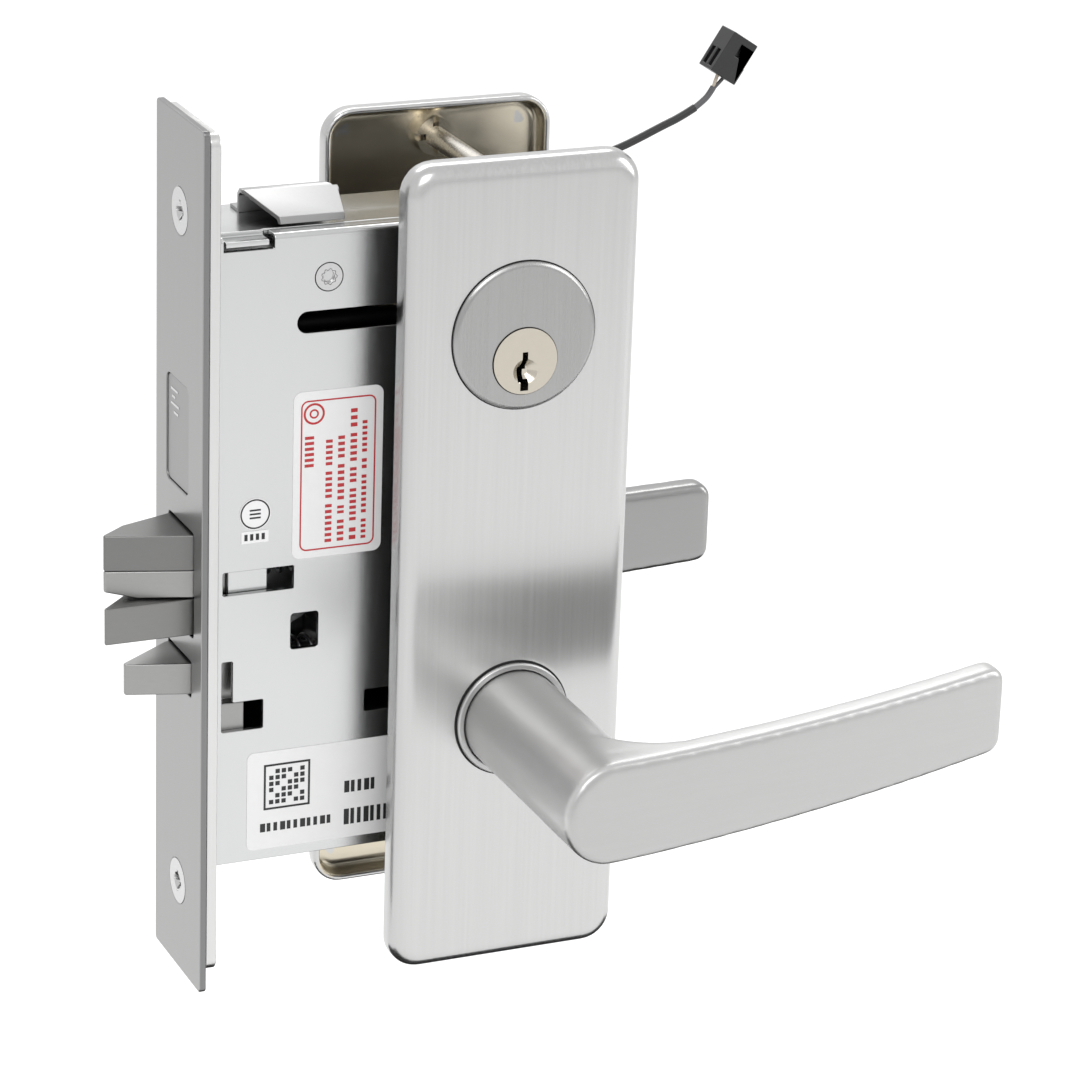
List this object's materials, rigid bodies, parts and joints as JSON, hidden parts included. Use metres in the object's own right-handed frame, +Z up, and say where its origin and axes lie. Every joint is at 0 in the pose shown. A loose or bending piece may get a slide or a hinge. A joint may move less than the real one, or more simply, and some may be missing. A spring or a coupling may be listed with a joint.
{
  "type": "electrified mortise lock",
  "caption": "Mortise lock case with sprung latch and guard bolts, key cylinder, lever handle and cover plate on each side, and a short plug-in cable.",
  "frame": {"origin": "centre of the armor front's outer face, in the door's edge", "axes": "+X into the door along the case, Y across the door with the outside (key side) at -Y, +Z up"},
  "size_m": [0.192, 0.1671, 0.2136],
  "materials": {
    "armor_steel": "satin, vertical brushing",
    "case_zinc": "bright zinc-plated sheet steel",
    "escutcheon_satin": "satin chrome, vertical brushing",
    "lever_satin": "satin chrome, brushed along the blade",
    "bolt_steel": "satin stainless steel",
    "bolt_dark": "darker satin stainless steel",
    "cylinder_satin": "satin chrome, circular brushing",
    "plug_nickel": "polished nickel",
    "inner_nickel": "dull nickel plating, tinted",
    "screw_steel": "bright steel",
    "spring_steel": "round spring wire",
    "brass": "machined brass",
    "copper_winding": "wound copper wire",
    "label_white": "white polyester label",
    "label_red": "white label with a red edge line",
    "cable_black": "black sleeving",
    "wire_grey": "thin grey and cream insulated wires",
    "connector_black": "black moulded nylon"
  },
  "bodies": {
    "case": {"armor_front": "armor_steel", "armor_screws": "screw_steel", "fixed_front": "armor_steel", "blanking_plate": "armor_steel", "case_body": "case_zinc", "case_cap": "case_zinc", "case_posts": "screw_steel", "cap_screws": "screw_steel", "wire_guard": "case_zinc", "cable_gland": "connector_black", "caution_label": "label_red", "data_label": "label_white", "mark_sticker": "label_white", "latch_guide": "case_zinc", "latch_spring": "spring_steel", "guard_guide": "case_zinc", "guard_spring": "spring_steel", "deadlock_pin": "screw_steel", "front_bearing_ring": "lever_satin", "front_spring_cage": "case_zinc", "rear_bearing_ring": "lever_satin", "rear_spring_cage": "case_zinc", "front_escutcheon": "escutcheon_satin", "rear_escutcheon": "escutcheon_satin", "mounting_posts": "screw_steel", "post_collars": "inner_nickel", "through_screws": "screw_steel", "cylinder_body": "cylinder_satin", "cylinder_set_screw": "screw_steel", "solenoid_frame": "case_zinc", "solenoid_coil": "copper_winding", "plunger_spring": "spring_steel", "cable": "cable_black", "cable_wires": "wire_grey", "inner_lead": "cable_black", "connector_housing": "connector_black"},
    "latch": {"latch_bolt_upper": "bolt_dark", "latch_bolt_lower": "bolt_steel", "latch_tail": "case_zinc"},
    "wedge": {"anti_friction_wedge": "bolt_dark"},
    "guard": {"guard_bolt": "bolt_steel"},
    "deadlock": {"deadlock_lever": "case_zinc"},
    "front_handle": {"front_lever": "lever_satin", "front_spindle": "screw_steel", "front_hub": "bolt_steel", "front_set_screw": "screw_steel"},
    "rear_handle": {"rear_lever": "lever_satin", "rear_spindle": "screw_steel", "rear_hub": "bolt_steel", "rear_set_screw": "screw_steel"},
    "plug": {"cylinder_plug": "plug_nickel", "cylinder_cam": "brass", "cam_screws": "screw_steel"},
    "plunger": {"solenoid_plunger": "screw_steel", "lock_slider": "case_zinc"}
  },
  "joints": [
    {"name": "front_lever_turn", "type": "hinge", "parent": "case", "child": "front_handle", "pos_m": [0.06985, 0, -0.0373], "axis": [0, 1, 0], "range_deg": [0, 45], "stiffness_Nm_per_rad": 1.2, "springref_deg": -28.65},
    {"name": "rear_lever_turn", "type": "hinge", "parent": "case", "child": "rear_handle", "pos_m": [0.06985, 0, -0.0373], "axis": [0, 1, 0], "range_deg": [0, 45], "stiffness_Nm_per_rad": 1.2, "springref_deg": -28.65},
    {"name": "latch_slide", "type": "slide", "parent": "case", "child": "latch", "axis": [1, 0, 0], "range_m": [0, 0.0185], "deforming": ["latch_spring"]},
    {"name": "wedge_slide", "type": "slide", "parent": "latch", "child": "wedge", "axis": [1, 0, 0], "range_m": [0, 0.006], "stiffness_N_per_m": 150, "springref_m": -0.01},
    {"name": "guard_bolt_slide", "type": "slide", "parent": "case", "child": "guard", "axis": [1, 0, 0], "range_m": [0, 0.013], "stiffness_N_per_m": 150, "springref_m": -0.01, "deforming": ["guard_spring"]},
    {"name": "deadlock_lever_turn", "type": "hinge", "parent": "case", "child": "deadlock", "pos_m": [0.046, 0.0088, -0.016], "axis": [0, 1, 0], "range_deg": [-12.1, 0]},
    {"name": "plug_turn", "type": "hinge", "parent": "case", "child": "plug", "pos_m": [0.06985, 0, 0.0482], "axis": [0, 1, 0], "range_deg": [-90, 90]},
    {"name": "plunger_slide", "type": "slide", "parent": "case", "child": "plunger", "axis": [1, 0, 0], "range_m": [0, 0.004], "stiffness_N_per_m": 120, "springref_m": -0.006, "deforming": ["plunger_spring"]}
  ],
  "couplings": [
    {"joint": "latch_slide", "follows": "front_lever_turn", "m_per_rad": 0.02355},
    {"joint": "deadlock_lever_turn", "follows": "guard_bolt_slide", "rad_per_m": -16.1}
  ]
}
